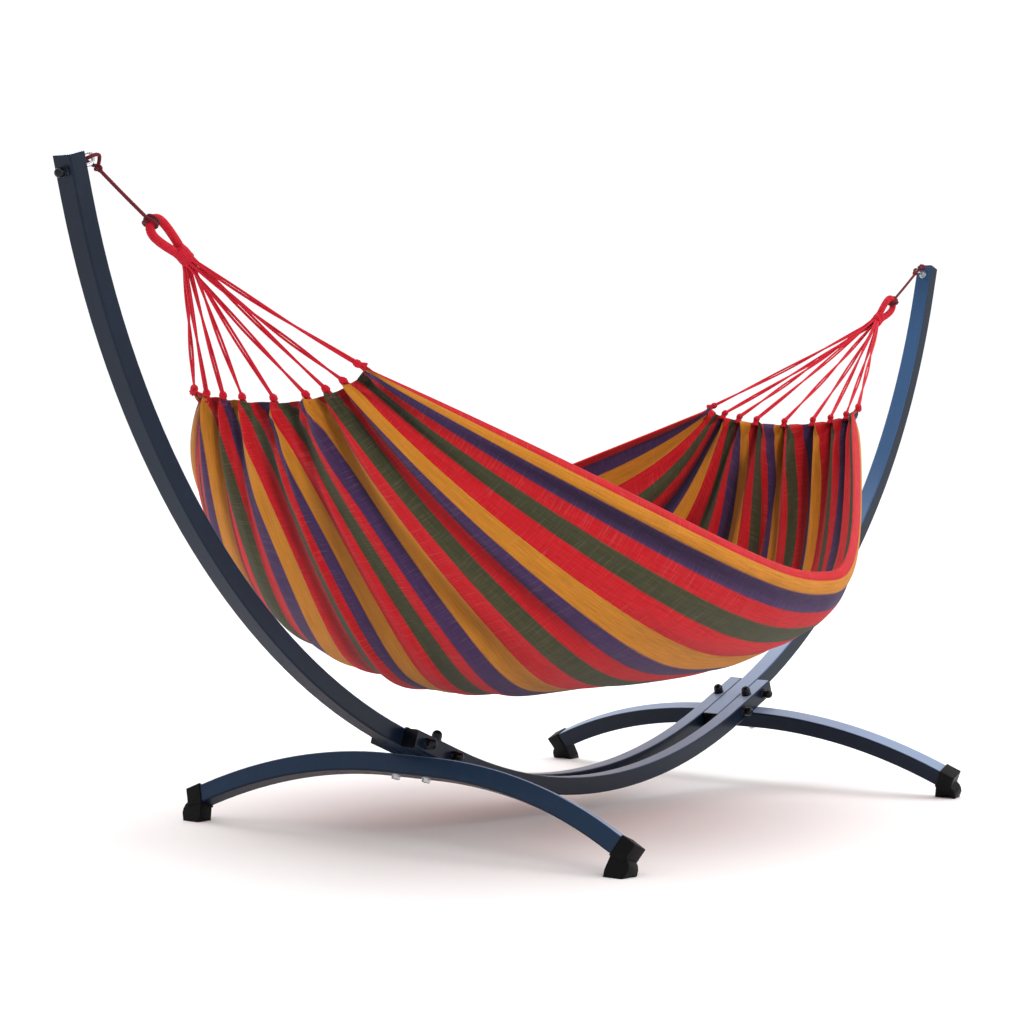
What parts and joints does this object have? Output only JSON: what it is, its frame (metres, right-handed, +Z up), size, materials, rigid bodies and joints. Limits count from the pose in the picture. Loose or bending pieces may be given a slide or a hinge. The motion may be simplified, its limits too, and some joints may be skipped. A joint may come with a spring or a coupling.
{
  "type": "hammock on stand",
  "caption": "Striped cloth hammock hung by fanned cords from hook bolts on a free-standing stand of curved tube arms, curved base rails and tilted foot arches.",
  "frame": {"origin": "On the ground, in the middle of the stand", "axes": "+X along the hammock from arm to arm, +Y across it towards the back, +Z up"},
  "size_m": [3.4074, 1.3686, 1.3495],
  "materials": {
    "stand_steel": "anthracite blue powder coat, satin",
    "boot_rubber": "black moulded rubber, matte",
    "black_plastic": "black moulded plastic, satin",
    "zinc_steel": "bright zinc-plated steel",
    "maroon_rope": "braided maroon rope",
    "red_cord": "twisted red cotton cord",
    "striped_cloth": "woven cotton with lengthwise stripes of red, gold, purple and olive"
  },
  "bodies": {
    "stand": {"rail_front": "stand_steel", "rail_back": "stand_steel", "arm_right": "stand_steel", "arm_left": "stand_steel", "foot_tube_right": "stand_steel", "foot_tube_left": "stand_steel", "boot_front_right": "boot_rubber", "boot_back_right": "boot_rubber", "boot_front_left": "boot_rubber", "boot_back_left": "boot_rubber", "rail_end_plugs": "black_plastic", "arm_lower_plugs": "black_plastic", "arm_top_caps": "black_plastic", "cross_bolts": "zinc_steel", "cross_bolt_washers": "zinc_steel", "foot_bolts": "zinc_steel", "foot_bolt_washers": "zinc_steel", "hook_bolt_right": "zinc_steel", "hook_bolt_left": "zinc_steel", "hook_bolt_washers": "zinc_steel", "hook_bolt_nuts": "zinc_steel", "cross_bolt_cap_nuts": "black_plastic", "foot_bolt_cap_nuts": "black_plastic", "hook_bolt_cap_nuts": "black_plastic"},
    "hammock": {"hook_loop_right": "maroon_rope", "rope_knot_right": "maroon_rope", "suspension_rope_right": "maroon_rope", "rope_hitch_right": "maroon_rope", "hook_loop_left": "maroon_rope", "rope_knot_left": "maroon_rope", "suspension_rope_left": "maroon_rope", "rope_hitch_left": "maroon_rope", "eye_loop_right": "red_cord", "eye_loop_left": "red_cord", "cord_binding_right": "red_cord", "cord_binding_left": "red_cord", "clew_cord_right_1": "red_cord", "clew_cord_right_2": "red_cord", "clew_cord_right_3": "red_cord", "clew_cord_right_4": "red_cord", "clew_cord_right_5": "red_cord", "clew_cord_right_6": "red_cord", "clew_cord_right_7": "red_cord", "clew_cord_right_8": "red_cord", "clew_cord_right_9": "red_cord", "clew_cord_left_1": "red_cord", "clew_cord_left_2": "red_cord", "clew_cord_left_3": "red_cord", "clew_cord_left_4": "red_cord", "clew_cord_left_5": "red_cord", "clew_cord_left_6": "red_cord", "clew_cord_left_7": "red_cord", "clew_cord_left_8": "red_cord", "clew_cord_left_9": "red_cord", "header_knots_right": "red_cord", "header_knots_left": "red_cord", "hammock_bed": "striped_cloth"}
  },
  "joints": [
    {"name": "hammock_swing", "type": "hinge", "parent": "stand", "child": "hammock", "pos_m": [0, 0, 1.33309], "axis": [1, 0, 0], "range_deg": [-25, 25]}
  ]
}
